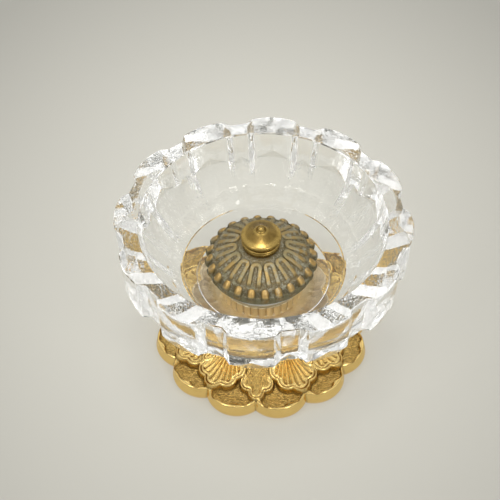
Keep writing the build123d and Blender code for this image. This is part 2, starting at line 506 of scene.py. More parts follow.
@dataclass(frozen=True)
class PatinaFinish:
    """Old brass under dirt and verdigris, rubbed back to metal on its high points."""

    rubbed: Colour = (0.60, 0.38, 0.13)
    brass: Colour = (0.37, 0.27, 0.10)
    dark: Colour = (0.135, 0.098, 0.042)
    verdigris: Colour = (0.25, 0.235, 0.135)
    chalk: Colour = (0.46, 0.44, 0.35)
    cloud_size: float = 5.5
    blot_size: float = 2.1
    fine_size: float = 0.7
    wear_size: float = 9.0
    pitting: float = 0.12
    crust: float = 0.25

    def make(self) -> Material:
        """Builds the material, which reads the masks crest, hollow and skirt."""
        shader = Shader("patinated_brass")
        crest = shader.mask("crest")
        hollow = shader.mask("hollow")
        skirt = shader.mask("skirt")
        cloud = shader.noise(self.cloud_size, 5.0, 0.66)
        blot = shader.noise(self.blot_size, 5.0, 0.7)
        fine = shader.noise(self.fine_size, 4.0, 0.65)
        wear = shader.noise(self.wear_size, 2.0, 0.5)
        colour = shader.blend(shader.spread(cloud, 0.36, 0.62), self.brass, self.verdigris)
        blotted = shader.spread(blot, 0.3, 0.52, 0.35, 1.0)
        stained = shader.times(shader.spread(hollow, 0.1, 0.8), blotted)
        colour = shader.blend(stained, colour, self.dark)
        green = shader.times(hollow, shader.spread(blot, 0.5, 0.62))
        colour = shader.blend(green, colour, self.verdigris)
        dusty = shader.spread(cloud, 0.44, 0.60, 0.25, 1.0)
        low = shader.spread(hollow, 0.0, 0.6, 0.3, 1.0)
        powder = shader.times(low, shader.spread(fine, 0.52, 0.66))
        powder = shader.times(powder, dusty)
        colour = shader.blend(powder, colour, self.chalk)
        ringed = shader.times(skirt, shader.spread(blot, 0.3, 0.55, 0.55, 1.0))
        colour = shader.blend(ringed, colour, self.verdigris)
        touched = shader.spread(wear, 0.42, 0.58, 0.35, 1.0)
        kept = shader.times(shader.spread(blot, 0.30, 0.60, 1.0, 0.2), touched)
        kept = shader.join("MAXIMUM", kept, shader.spread(crest, 0.75, 1.0, 0.0, 0.8))
        worn = shader.times(crest, kept)
        colour = shader.blend(worn, colour, self.rubbed)
        dulled = shader.spread(wear, 0.44, 0.56, 0.05, 0.55)
        film = shader.times(shader.spread(blot, 0.48, 0.62), dulled)
        colour = shader.blend(film, colour, self.chalk)
        shader.feed("Base Color", colour)
        shader.feed("Metallic", shader.spread(shader.join("SUBTRACT", worn, powder), 0.0, 0.5, 0.35, 1.0))
        shader.feed("Roughness", shader.spread(worn, 0.0, 1.0, 0.50, 0.30))
        shader.bump(fine, self.pitting, 0.8)
        shader.bump(blot, self.crust, 0.6)
        return shader.material


@dataclass(frozen=True)
class TurnedFinish:
    """Turned brass with an aged, olive polish."""

    name: str
    bright: Colour
    aged: Colour
    # Darker brown laid wherever the groove mask is set.
    darker_brown: Colour = (0.10, 0.055, 0.012)
    cloud_scale: float = 230.0
    least_rough: float = 0.22
    most_rough: float = 0.36
    line_size: float = 0.5
    line_depth: float = 0.02

    def make(self, handling: Tree) -> Material:
        """Builds the material, with fine turning lines and a darker brown wherever the groove mask is set."""
        shader = Shader(self.name)
        shader.set(Metallic=1.0)
        worn = shader.group(handling, Size=self.cloud_scale, Least=self.least_rough, Most=self.most_rough)
        colour = shader.blend(worn.outputs["Tarnish"], self.bright, self.aged)
        groove = shader.mask("groove")
        colour = shader.blend(groove, colour, self.darker_brown)
        shader.feed("Base Color", colour)
        shader.feed("Roughness", worn.outputs["Roughness"])
        shader.bump(shader.noise(self.line_size, 2.0), self.line_depth, 0.5)
        return shader.material


@dataclass(frozen=True)
class CrystalFinish:
    """Clear lead crystal, cut and polished."""

    tint: Colour = (0.985, 0.990, 0.978)
    clear: Colour = (0.995, 0.995, 0.988)
    index: float = 1.52
    cloud_size: float = 9.0
    ripple_size: float = 3.2
    ripple_depth: float = 0.25
    ground_size: float = 1.5
    ground_depth: float = 0.30

    def make(self) -> Material:
        """Builds the glass, which reads the mask cut.

        The cut faces keep a ripple from the wheel, the ground ones a finer one on top of it, and
        the inside is smooth.
        """
        shader = Shader("cut_crystal")
        shader.set(Metallic=0.0, Transmission_Weight=1.0, IOR=self.index, Roughness=0.0)
        cloud = shader.noise(self.cloud_size, 2.0)
        shader.feed("Base Color", shader.blend(cloud, self.tint, self.clear))
        cut = shader.mask("cut")
        ripple = shader.times(shader.noise(self.ripple_size, 2.0), cut)
        shader.bump(ripple, self.ripple_depth, 0.6)
        ground = shader.spread(cut, WALL_CUT, 1.0)
        scratch = shader.times(shader.noise(self.ground_size, 2.0), ground)
        shader.bump(scratch, self.ground_depth, 0.8)
        return shader.material


@dataclass(frozen=True)
class PlainFinish:
    """A hidden or working part: pale washer, zinc-plated steel."""

    name: str
    first: Colour
    second: Colour
    metallic: float
    least_rough: float
    most_rough: float
    grain: float

    def make(self) -> Material:
        """Builds a mottled material with a fine grain."""
        shader = Shader(self.name)
        shader.set(Metallic=self.metallic)
        cloud = shader.noise(self.grain, 4.0, 0.6)
        shader.feed("Base Color", shader.blend(shader.spread(cloud, 0.35, 0.65), self.first, self.second))
        shader.feed("Roughness", shader.spread(cloud, 0.3, 0.7, self.least_rough, self.most_rough))
        shader.bump(cloud, 0.05, 0.6)
        return shader.material


@dataclass
class Finishes:
    """Every material of the dish."""

    gilt: Material
    satin: Material
    patina: Material
    turned: Material
    crystal: Material
    washer: Material
    steel: Material

    @staticmethod
    def build() -> "Finishes":
        """Makes each finish once."""
        handling = handling_group()
        return Finishes(
            gilt=GiltFinish(
                name="polished_gilt",
                bright=(0.87, 0.62, 0.23),
                matt=(0.70, 0.48, 0.15),
                # Dark colour of the specks and of the painted shade in creases and under edges.
                shade_and_grime=(0.15, 0.080, 0.012),
                least_rough=0.08,
                most_rough=0.17,
                matt_rough=0.27,
                stipple=0.34,
            ).make(handling),
            satin=GiltFinish(
                name="satin_gilt",
                bright=(0.93, 0.78, 0.52),
                matt=(0.74, 0.56, 0.31),
                # Dark colour of the specks and of the painted shade in creases and under edges.
                shade_and_grime=(0.28, 0.17, 0.06),
                least_rough=0.24,
                most_rough=0.40,
                matt_rough=0.42,
                stipple=0.24,
            ).make(handling),
            patina=PatinaFinish().make(),
            turned=TurnedFinish("turned_brass", (0.44, 0.30, 0.09), (0.25, 0.165, 0.045)).make(handling),
            crystal=CrystalFinish().make(),
            washer=PlainFinish(
                name="pale_washer",
                first=(0.88, 0.87, 0.82),
                second=(0.94, 0.93, 0.89),
                metallic=0.0,
                least_rough=0.6,
                most_rough=0.8,
                grain=1.2,
            ).make(),
            steel=PlainFinish(
                name="zinc_steel",
                first=(0.52, 0.52, 0.50),
                second=(0.66, 0.65, 0.62),
                metallic=1.0,
                least_rough=0.25,
                most_rough=0.42,
                grain=2.5,
            ).make(),
        )


# ---------------------------------------------------------------- foot


class PetalKind(Enum):
    """The two kinds of petal in the foot's second tier."""

    SHELL = "shell"
    SMOOTH = "smooth"


@dataclass(frozen=True)
class PetalShape:
    """Outline and relief of one kind of petal, drawn about the foot's axis.

    Each scallop is a circle: its distance out along the petal, its distance off the petal's middle
    line, on both sides, and its radius, in millimetres.
    """

    scallops: Tuple[Tuple[float, float, float], ...]
    heart: float
    rise: float
    border: float
    field_drop: float
    dome: float
    rib_depth: float
    rib_count: float
    matt: float

    def edge(self, count: int = 420) -> Tuple[Values, Values]:
        """Outline about the petal's heart: directions and how far out it runs in each."""
        swing = np.linspace(-math.pi, math.pi, count)
        reach = np.zeros(count)
        for out, off, size in self.scallops:
            for side in (off, -off):
                ahead = (out - self.heart) * np.cos(swing) + side * np.sin(swing)
                spare = ahead**2 - (out - self.heart) ** 2 - side**2 + size**2
                reach = np.maximum(reach, np.where(spare > 0.0, ahead + np.sqrt(np.maximum(spare, 0.0)), 0.0))
        return swing, reach

    def depth(self, along: Values, across: Values) -> Values:
        """How far inside the outline each point lies, negative outside.

        Args:
            along: Distance out along the petal's middle line, in millimetres.
            across: Distance off that line.

        Returns:
            The distance to the outline, with its sign.
        """
        swing, reach = self.edge()
        edge_along = self.heart + reach * np.cos(swing)
        edge_across = reach * np.sin(swing)
        nearest = np.full(along.shape, 1e9)
        for one, two in zip(edge_along, edge_across):
            nearest = np.minimum(nearest, (along - one) ** 2 + (across - two) ** 2)
        own_swing = np.arctan2(across, along - self.heart)
        inside = np.hypot(along - self.heart, across) < np.interp(own_swing, swing, reach)
        return np.where(inside, 1.0, -1.0) * np.sqrt(nearest)


PETALS: Dict[PetalKind, PetalShape] = {
    PetalKind.SHELL: PetalShape(
        scallops=((38.6, 0.0, 4.7), (35.6, 5.0, 4.7), (30.6, 6.6, 4.5), (26.0, 2.4, 6.0), (21.0, 0.0, 5.8)),
        heart=31.0,
        rise=1.75,
        border=2.0,
        field_drop=0.6,
        dome=0.5,
        rib_depth=0.5,
        rib_count=36.0,
        matt=0.35,
    ),
    PetalKind.SMOOTH: PetalShape(
        scallops=((39.8, 0.0, 3.7), (35.6, 3.7, 3.8), (30.5, 3.2, 4.6), (24.0, 0.0, 5.6)),
        heart=33.0,
        rise=1.05,
        border=1.5,
        field_drop=0.35,
        dome=1.5,
        rib_depth=0.0,
        rib_count=1.0,
        matt=0.95,
    ),
}


@dataclass
class Foot(Turning):
    """The cast and gilt foot: outer petals with rolled lips, and a tier of shell petals on them."""

    notch: float = 44.8
    petals: int = 12
    turn_degrees: float = -79.5
    edge: float = 7.4
    side_top: float = 4.9
    shoulder: float = 42.2
    neck: float = 15.0
    bell_sag: float = 4.0
    wall: float = 3.2
    plate: float = 6.0
    bore: float = 3.3
    side_bulge: float = 1.5
    lip_width: float = 1.8
    lip_drop: float = 1.25
    lip_round: float = 2.0
    lip_reach: float = 1.5
    slow_wave: float = 0.75
    quick_wave: float = 0.50
    pull_start: float = 37.0
    pull_run: float = 9.5
    tier_limit: float = 46.0
    tier_half_angle: float = 0.42
    fan_centre: float = 22.5
    rib_start: float = 24.0
    rib_end: float = 43.0
    bead_rise: float = 0.32
    bead_groove: float = 0.34
    columns: int = 768
    fine_from: float = 30.0
    fine_ring: float = 0.36
    coarse_ring: float = 0.95

    def bell(self, radius: Values) -> Values:
        """Height of the bell under the petals at a radius."""
        curve = sagged((self.neck, self.top), (self.shoulder, self.edge), -self.bell_sag, 40)
        return np.interp(radius, [p[0] for p in curve], [p[1] for p in curve])

    def outline(self, radius: Values, angle: Values) -> Carved:
        """Where a point lies in its outer petal.

        Args:
            radius: Radius of each point.
            angle: Angle of each point.

        Returns:
            The outline's radius at that angle, the depth inside it, the angle about the petal's
            own centre, and the distance to the groove between two petals.
        """
        half = math.pi / self.petals
        local = within(angle, self.turn_degrees, self.petals)
        centre = (self.reach**2 - self.notch**2) / (2.0 * (self.reach - self.notch * math.cos(half)))
        bow = self.reach - centre
        edge_radius = centre * np.cos(local) + np.sqrt(bow**2 - (centre * np.sin(local)) ** 2)
        along = radius * np.cos(local) - centre
        across = radius * np.sin(local)
        depth = bow - np.hypot(along, across)
        return edge_radius, depth, np.arctan2(across, along), radius * np.sin(half - np.abs(local))

    def tier(self, radius: Values, angle: Values, middle: float, shape: PetalShape) -> Carved:
        """One petal of the second tier.

        Args:
            radius: Radius of each point.
            angle: Angle of each point.
            middle: The petal's direction.
            shape: The petal's outline and relief.

        Returns:
            Height above the bell, painted shade mixed with grime in the border groove, under the petal's
            outline and between its ribs, the matt field and how surely a point is inside.
        """
        local = turned_to(angle, middle)
        along = radius * np.cos(local)
        across = radius * np.sin(local)
        inside = shape.depth(along, across)
        here = smooth(inside / 0.5 + 0.5)
        height = shape.rise * here
        bead = self.bead_rise * hump(inside - 0.65, 0.5)
        height += here * (bead - self.bead_groove * hump(inside - shape.border * 0.72, 0.42))
        field = smooth((inside - shape.border - 0.1) / 0.9)
        height += field * (shape.dome * hump(across, 3.2) - shape.field_drop)
        fan = np.arctan2(across, along - self.fan_centre)
        ribs = np.cos(fan * shape.rib_count)
        ribbed = smooth((self.rib_end - along) / 5.0) * smooth((along - self.rib_start) / 3.0)
        height += field * shape.rib_depth * ribs * ribbed
        # Painted shade: dark in the border groove and just outside the outline, under the petal's raised
        # edge.
        shade_and_grime = 0.75 * hump(inside - shape.border * 0.66, 0.30) + 0.9 * hump(inside + 0.3, 0.35)
        # More painted shade in the creases between the ribs.
        creases = smooth((-ribs - 0.3) / 0.6) if shape.rib_depth > 0.0 else 0.0
        shade_and_grime += 0.55 * field * ribbed * creases
        return height, shade_and_grime, shape.matt * field, here

    def relief(self, radius: Values, angle: Values, height: Values) -> Carved:
        """Carves the blank: scalloped outline, lips, grooves and both tiers of petals."""
        outside = self.outline(radius, angle)[0]
        pull = smooth((radius - self.pull_start) / self.pull_run)
        shaped = radius - (self.reach - outside) * pull
        _, depth, swing, gap = self.outline(shaped, angle)
        base = self.bell(shaped)
        on_top = (height > base - 0.6) & (shaped > self.bore + 1.0)
        wave = self.slow_wave * np.sin(swing * 4.4 + 0.7) + self.quick_wave * np.sin(swing * 10.0 - 1.1)
        inner = np.minimum(depth, gap + 0.5)
        width = self.lip_width + wave
        fall = smooth((inner - width) / 0.55)
        rolled = np.clip(1.0 - inner / self.lip_reach, 0.0, 1.0) ** 2.1
        outer = base - self.lip_round * rolled - self.lip_drop * fall
        # Painted shade: a dark line just inside the lip, where it drops to the field, and in the groove
        # between two petals.
        shade_and_grime = 0.55 * hump(inner - width - 0.5, 0.38) + 0.7 * hump(gap, 0.3) * smooth(depth / 1.0)
        matt = fall.copy()
        top = outer.copy()
        for kind in (PetalKind.SMOOTH, PetalKind.SHELL):
            for index in range(self.petals):
                if (index % 3 == 2) != (kind is PetalKind.SMOOTH):
                    continue
                middle = math.radians(self.turn_degrees + (index + 0.5) * 360.0 / self.petals)
                near = on_top & (shaped < self.tier_limit)
                near &= np.abs(turned_to(angle, middle)) < self.tier_half_angle
                rise, tier_shade_and_grime, dull, here = self.tier(shaped[near], angle[near], middle, PETALS[kind])
                raised = base[near] + rise
                higher = (here > 0.02) & (raised > top[near])
                shade_and_grime[near] = np.where(higher, tier_shade_and_grime, np.maximum(shade_and_grime[near], tier_shade_and_grime * (here < 0.5)))
                matt[near] = np.where(higher, dull, matt[near])
                top[near] = np.where(higher, raised, top[near])
        new_height = np.where(on_top, top, height)
        flank = shaped > self.shoulder - self.wall
        # Painted shade on the sides in the grooves between petals, and an even half share over the hollow
        # inside.
        new_shade_and_grime = np.where(on_top, shade_and_grime, np.where(flank, 0.6 * hump(gap, 0.35), 0.5))
        new_matt = np.where(on_top, matt, np.where(flank, 0.0, 1.0))
        return np.minimum(shaped, self.reach), angle, np.clip(new_height, 0.0, self.top), new_matt, new_shade_and_grime

    def section(self) -> List[Point]:
        """Half section of the blank, from the bottom of the side round to the hollow."""
        side = []
        steps = 9
        for step in range(steps + 1):
            share = step / steps
            out = self.side_bulge * (1.0 - math.cos((share - 0.55) * 2.2))
            side.append((self.reach - out, self.side_top * share))
        radius = side[-1][0] - 0.12
        top: List[Point] = []
        while radius > self.neck:
            top.append((radius, float(self.bell(np.array([radius]))[0])))
            radius -= self.fine_ring if radius > self.fine_from else self.coarse_ring
        cavity = sagged(
            (self.neck - self.wall, self.top - self.plate),
            (self.shoulder - self.wall, self.edge - 1.0 - self.wall),
            -self.bell_sag,
            20,
        )
        inner = [(self.neck, self.top), (self.bore, self.top), (self.bore, self.top - self.plate)]
        foot_ring = [(self.notch - self.wall, self.edge - 1.0 - self.wall), (self.notch - self.wall, 0.0)]
        return side + top + inner + cavity + foot_ring

    def build(self, finish: Material) -> Piece:
        """Turns, carves and dresses the foot.

        Args:
            finish: The gilt.

        Returns:
            The foot.
        """
        self.measure("foot_casting")
        plan = Plan("petalled_foot", "foot_casting", "gilt_brass", "base", self.columns, 50.0, CAST_MASKS)
        return Bench.make(plan, self.section(), self.relief, finish)


# ---------------------------------------------------------------- seat and collar


@dataclass
class Seat(Turning):
    """Petalled dish that carries the collar under the glass."""

    petals: int = 12
    notch_depth: float = 2.4
    turn_degrees: float = -82.5
    floor_radius: float = 21.5
    floor: float = 3.2
    neck: float = 15.0
    bore: float = 3.3
    rim: float = 2.0
    groove_depth: float = 0.8
    vein_depth: float = 0.12
    vein_count: float = 36.0
    lip_rise: float = 0.35
    columns: int = 288

    def relief(self, radius: Values, angle: Values, height: Values) -> Carved:
        """Scallops the rim, hollows each petal and veins it."""
        half = math.pi / self.petals
        local = within(angle, self.turn_degrees, self.petals)
        scallop = self.notch_depth * (np.abs(local) / half) ** 1.8
        share = smooth((radius - self.floor_radius) / (self.reach - self.floor_radius))
        shaped = radius - scallop * share
        gap = shaped * np.sin(half - np.abs(local))
        upper = height > self.base + self.floor - 0.2
        along = smooth((shaped - self.floor_radius) / 3.0)
        dip = -self.groove_depth * hump(gap, 0.8) + self.vein_depth * np.cos(local * self.vein_count)
        lip = self.lip_rise * hump(self.reach - scallop - shaped - 0.6, 0.5)
        moved = np.where(upper, height + along * (dip + lip) - self.lip_rise * along, height)
        matt = np.where(upper, 0.25 + 0.4 * along * (1.0 - hump(gap, 0.9)), 0.4)
        # Painted shade in the grooves between the petals, and a little over the underside.
        shade_and_grime = np.where(upper, 0.5 * along * hump(gap, 0.5), 0.2)
        return shaped, angle, np.minimum(moved, self.top), matt, shade_and_grime

    def build(self, finish: Material) -> Piece:
        """Turns, carves and dresses the seat."""
        self.measure("bowl_seat")
        out = self.reach
        upper = self.base + self.floor
        section = [(self.bore, self.base), (self.neck, self.base)]
        section += sagged((self.neck + 0.4, self.base + 0.1), (out - 0.4, self.top - self.rim), 0.0, 10)
        section += rounded((out - 0.9, self.top - 0.9), 0.9, -60.0, 90.0, 6)
        section += sagged((out - 1.4, self.top - 0.15), (self.floor_radius, upper), 0.0, 16)
        section += [(self.floor_radius - 1.5, upper), (self.bore, upper)]
        plan = Plan("petal_seat", "bowl_seat", "gilt_satin", "base", self.columns, 45.0, CAST_MASKS)
        return Bench.make(plan, section, self.relief, finish)


@dataclass
class Collar(Turning):
    """Fluted ring between the seat and the glass."""

    flutes: int = 32
    depth: float = 1.1
    round_edge: float = 0.6
    face: float = 3.0
    bore: float = 3.3
    columns: int = 384

    def relief(self, radius: Values, angle: Values, height: Values) -> Carved:
        """Cuts the flutes, deepest at mid height."""
        wave = np.abs(np.cos(angle * self.flutes / 2.0))
        cut = self.depth * (1.0 - wave) ** 0.8
        ends = np.minimum(height - self.base, self.top - height)
        share = smooth(ends / 0.9) * smooth((radius - self.reach + 2.5) / 1.0)
        # The masks: a light matt share, and painted shade in the bottoms of the flutes.
        return radius - cut * share, angle, height, 0.15 * share, 0.8 * share * smooth((0.35 - wave) / 0.35)

    def build(self, finish: Material) -> Piece:
        """Turns, flutes and dresses the collar."""
        self.measure("fluted_collar")
        out = self.reach
        edge = self.round_edge
        section = [(self.bore, self.base), (out - self.face, self.base)]
        section += rounded((out - edge, self.base + edge), edge, -90.0, 0.0, 4)
        section += sagged((out, self.base + edge + 0.2), (out, self.top - edge - 0.2), 0.0, 8)
        section += rounded((out - edge, self.top - edge), edge, 0.0, 90.0, 4)
        section += [(out - self.face, self.top), (self.bore, self.top)]
        plan = Plan("ribbed_collar", "fluted_collar", "gilt_brass", "base", self.columns, 40.0, CAST_MASKS)
        return Bench.make(plan, section, self.relief, finish)


# ---------------------------------------------------------------- crystal


@dataclass
class CrystalBowl(Turning):
    """The thick cut-glass dish: lobed wall, mitre cuts under it and a plain, polished inside."""

    lobes: int = 12
    turn_degrees: float = -95.5
    notch_depth: float = 3.7
    rim_width: float = 11.1
    lobe_half: float = 8.8
    notch_half: float = 3.6
    corner_drop: float = 1.1
    skirt: float = 22.3
    lean: float = 1.6
    base_radius: float = 30.0
    floor_radius: float = 36.8
    floor_thickness: float = 11.5
    wall_sag: float = 1.6
    bore: float = 5.0
    bevel: float = 0.45
    mitre: float = 4.8
    mitre_start: float = 38.0
    under_hollow: float = 2.2
    tip: float = 64.6
    arc_angles: Tuple[float, ...] = (0.0, 0.4, 1.7, 2.9, 4.2, 5.9, 7.3)
    crisp: float = 0.35
    crisp_step: float = 0.12

    @property
    def floor(self) -> float:
        """Height of the floor inside."""
        return self.base + self.floor_thickness

    @property
    def rim_inner(self) -> float:
        """Radius of the rim's inner edge."""
        return self.tip - self.rim_width

    @property
    def skirt_base(self) -> float:
        """Height of the wall's lower edge."""
        return self.top - self.skirt

    def columns(self) -> Tuple[Values, Values, Values]:
        """The columns of one half lobe, from its middle to the middle of the gap.

        Returns:
            Their angles in degrees, how far the wall stands back there, and how far the mitre
            cuts lift the lower edge there, as a share.
        """
        half = 180.0 / self.lobes
        lobe = self.lobe_half
        notch = half - self.notch_half
        crisp = self.crisp
        angles = [*self.arc_angles, lobe - crisp, lobe, lobe + crisp]
        angles += [notch - crisp, notch, notch + crisp, half - 1.6, half - 0.4, half]
        back = []
        lift = []
        for angle in angles:
            inner = min(angle, lobe)
            share = min(max((angle - lobe) / (notch - lobe), 0.0), 1.0)
            arc = self.corner_drop * (inner / lobe) ** 2
            back.append(arc + (self.notch_depth - arc) * share)
            lift.append(1.0 - angle / lobe if angle < lobe else (angle - lobe) / (half - lobe))
        back[angles.index(lobe)] += self.crisp_step
        back[angles.index(notch)] -= self.crisp_step
        return np.array(angles), np.array(back), np.array(lift)

    def relief(self, radius: Values, angle: Values, height: Values) -> Carved:
        """Cuts the lobes, the notches and the mitres into the turned blank."""
        step = 360.0 / self.lobes
        even = (np.degrees(angle) + step / 2.0) % step - step / 2.0
        angles, back, lift = self.columns()
        count = len(angles) - 1
        column = np.abs(even) * count / (step / 2.0)
        place = np.arange(count + 1)
        own = np.interp(column, place, angles)
        turned = angle + np.radians(np.sign(even) * own - even + self.turn_degrees)
        setback = np.interp(column, place, back)
        raised = np.interp(column, place, lift)
        setback = setback * smooth((radius - self.rim_inner - 1.0) / 5.0)
        wall = (radius > self.rim_inner + 1.2) & (height > self.base + 0.5)
        shaped = np.where(wall, radius - setback, radius)
        under = (height < self.skirt_base + 0.4) & (radius > self.base_radius + 0.2)
        share = np.clip((radius - self.mitre_start) / (self.tip - self.lean - self.mitre_start), 0.0, 1.0)
        lifted = np.where(under, height + self.mitre * raised * share, height)
        ground = 0.15 + 0.85 * smooth((radius - self.mitre_start) / 4.0)
        cut = np.where(under, ground, np.where(wall, WALL_CUT, 0.0))
        return shaped, turned, lifted, cut

    def section(self) -> List[Point]:
        """Half section of the blank, anticlockwise from the bore's foot."""
        bevel = self.bevel
        skirt_radius = self.tip - self.lean
        section = [(self.bore, self.base), (self.base_radius - bevel, self.base)]
        under = (self.base_radius, self.base + bevel * 0.6)
        section += sagged(under, (skirt_radius, self.skirt_base), -self.under_hollow, 9)
        section += sagged((skirt_radius + 0.12, self.skirt_base + 0.9), (self.tip, self.top - bevel), 0.0, 4)
        section += [(self.tip - bevel, self.top)]
        section += sagged((self.tip - bevel - 1.0, self.top), (self.rim_inner + bevel, self.top), 0.0, 4)
        edge = self.floor_radius
        foot = (edge + 0.5, self.floor + 0.9)
        section += sagged((self.rim_inner, self.top - bevel), foot, self.wall_sag, 22)
        section += [(edge - 0.1, self.floor + 0.1), (edge - 0.7, self.floor - 0.05)]
        section += [(edge - 1.3, self.floor + 0.1), (edge - 2.0, self.floor)]
        section += [(self.bore, self.floor)]
        return section

    def build(self, finish: Material) -> Piece:
        """Turns, cuts and dresses the bowl."""
        self.measure("glass_bowl")
        low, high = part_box("glass_bowl")
        steps = 2 * self.lobes * (len(self.columns()[0]) - 1)
        plan = Plan("crystal_bowl", "glass_bowl", "crystal", "base", steps, 13.0, ("cut",))
        piece = Bench.turn(plan.name, self.section(), plan.columns)
        Bench.carve(piece, self.relief, plan.masks)
        Bench.shift(piece, (low.x + high.x) / 2.0)
        return Bench.seat(piece, plan, finish)


# ---------------------------------------------------------------- rosette


@dataclass
class Rosette(Turning):
    """Domed casting on the glass floor: bumps round its edge and looped petals up its dome."""

    bumps: int = 24
    bump_ring: float = 22.9
    bump_half_width: float = 1.8
    bump_half_length: float = 1.75
    bump_turn: float = 93.2
    shoulder_height: float = 4.6
    loops: int = 14
    loop_turn: float = -100.5
    loop_start: float = 13.0
    loop_end: float = 20.6
    loop_half: float = 1.75
    loop_spread: float = 0.06
    crown: float = 8.6
    dome_sag: float = 1.2
    bump_rise: float = 1.25
    ridge_rise: float = 0.62
    slot_depth: float = 0.30
    valley_depth: float = 0.55
    trough_depth: float = 0.40
    edge_drop: float = 1.1
    flute_depth: float = 1.15
    flute_start: float = 20.5
    loop_foot: float = 9.6
    rim_fall: float = 21.6
    rim_dull: float = 21.5
    clean_radius: float = 11.5
    bore: float = 3.3
    columns: int = 768

    @property
    def shoulder(self) -> float:
        """Height of the dome's lower edge."""
        return self.base + self.shoulder_height

    def bump(self, radius: Values, angle: Values) -> Values:
        """How high each point lies on its edge bump, from 0 to 1."""
        local = within(angle, self.bump_turn, self.bumps)
        across = np.abs(radius * np.sin(local)) / self.bump_half_width
        along = np.abs(radius * np.cos(local) - self.bump_ring) / self.bump_half_length
        return np.clip(1.0 - across**2.6 - along**2.6, 0.0, 1.0) ** 0.5

    def relief(self, radius: Values, angle: Values, height: Values) -> Carved:
        """Carves bumps, loops and valleys."""
        top = height > self.shoulder - 0.35
        local = within(angle, self.bump_turn, self.bumps)
        aside = np.abs(self.reach * np.sin(local) / (self.bump_half_width + 0.25))
        swell = np.clip(1.0 - aside**2.4, 0.0, 1.0) ** 0.5
        level = smooth((height - self.base - 1.0) / 1.6)
        outer = smooth((radius - self.flute_start) / 3.2)
        pulled = (self.flute_depth - self.flute_depth * swell * level) * outer
        shaped = radius - pulled
        bead = self.bump(shaped, angle)
        around = within(angle, self.loop_turn, self.loops)
        along = shaped * np.cos(around)
        across = np.abs(shaped * np.sin(around))
        half = self.loop_half + self.loop_spread * np.clip(along - self.loop_start, 0.0, None)
        round_end = np.hypot(along - self.loop_start, across)
        off = np.where(along > self.loop_start, across - half, round_end - half)
        fade = smooth((self.loop_end - along) / 1.2) * smooth((along - self.loop_foot) / 0.7)
        ridge = smooth((1.2 - np.abs(off)) / 0.6) * fade
        slot = smooth((-off - 0.95) / 0.4) * fade
        valley = smooth((off - 0.85) / 0.5) * fade
        trough = hump(shaped - self.loop_end, 0.55) * (1.0 - smooth(bead * 3.0))
        carved = self.ridge_rise * ridge - self.slot_depth * slot
        carved -= self.valley_depth * valley + self.trough_depth * trough
        drop = -self.edge_drop * smooth((shaped - self.rim_fall) / 1.5) * (1.0 - smooth(bead * 5.0))
        dome = top & (shaped > self.crown + 0.2)
        raised = np.where(dome, height + carved + self.bump_rise * bead + drop, height)
        loop_crest = 0.72 * smooth((1.15 - np.abs(off)) / 0.5) * fade
        crest = np.where(dome, np.maximum(loop_crest, smooth(bead * 1.5)), 0.45 * swell * level)
        clean = 0.35 * (shaped < self.clean_radius)
        hollow = np.where(dome, np.clip(1.0 - 1.3 * crest - clean, 0.0, 1.0), 0.5)
        edged = 0.3 * smooth((shaped - self.rim_dull) / 1.0) * (1.0 - smooth(bead * 3.0))
        skirt = np.where(top, edged, 1.0 - swell * level)
        return shaped, angle, np.minimum(raised, self.top), crest, hollow, skirt

    def build(self, finish: Material) -> Piece:
        """Turns, carves and dresses the rosette."""
        self.measure("rosette")
        out = self.reach
        section = [(self.bore, self.base), (out - 0.5, self.base)]
        section += sagged((out - 0.1, self.base + 0.3), (out, self.shoulder - 0.7), 0.0, 9)
        section += rounded((out - 0.6, self.shoulder - 0.6), 0.6, 15.0, 90.0, 4)
        section += sagged((out - 0.9, self.shoulder), (self.crown, self.top), -self.dome_sag, 62)
        section += [(self.bore, self.top)]
        masks = ("crest", "hollow", "skirt")
        plan = Plan("cast_rosette", "rosette", "patinated_brass", "base", self.columns, 60.0, masks)
        return Bench.make(plan, section, self.relief, finish)


# ---------------------------------------------------------------- knob


